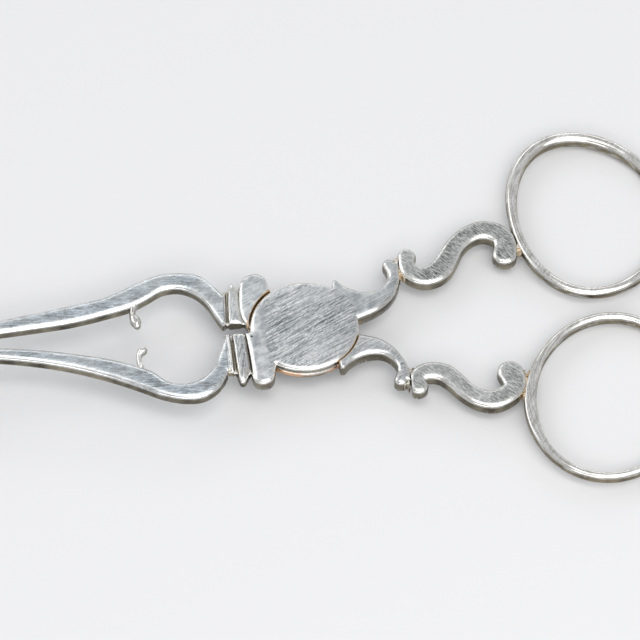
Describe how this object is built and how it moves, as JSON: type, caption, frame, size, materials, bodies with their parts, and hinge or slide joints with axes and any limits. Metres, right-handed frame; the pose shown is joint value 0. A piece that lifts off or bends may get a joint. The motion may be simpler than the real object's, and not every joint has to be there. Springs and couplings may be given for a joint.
{
  "type": "sugar nips",
  "caption": "Silver scissor-action sugar nips with shell grips, bowed jaws, lapped round hinge, scroll stems and oval finger bows.",
  "frame": {"origin": "on the pivot axis, at the flush end of the pin on the hinge's underside", "axes": "+X towards the finger bows, so the shell grips point to -X; +Z along the pivot axis, out of the front hinge plate; +Y towards the front half's bow"},
  "size_m": [0.1116, 0.058, 0.0112],
  "materials": {
    "silver": "old hand-finished silver, worn and lightly scratched flats with polished rounded edges",
    "silver_solder": "yellowed silver solder"
  },
  "bodies": {
    "front_half": {"front_hinge_plate": "silver", "front_reeded_collar": "silver", "front_jaw_arm": "silver", "front_tendril": "silver", "front_shell_grip": "silver", "front_stem_scroll": "silver", "front_bow": "silver", "front_stem_solder_inner": "silver_solder", "front_stem_solder_outer": "silver_solder", "front_bow_solder_inner": "silver_solder", "front_bow_solder_outer": "silver_solder", "pivot_pin": "silver"},
    "back_half": {"back_hinge_plate": "silver", "back_reeded_collar": "silver", "back_jaw_arm": "silver", "back_tendril": "silver", "back_shell_grip": "silver", "back_stem_scroll": "silver", "back_bow": "silver", "back_stem_solder_inner": "silver_solder", "back_stem_solder_outer": "silver_solder", "back_bow_solder_inner": "silver_solder", "back_bow_solder_outer": "silver_solder"}
  },
  "joints": [
    {"name": "pivot", "type": "hinge", "parent": "front_half", "child": "back_half", "pos_m": [0, 0, 0.001], "axis": [0, 0, -1], "range_deg": [0, 60]}
  ]
}
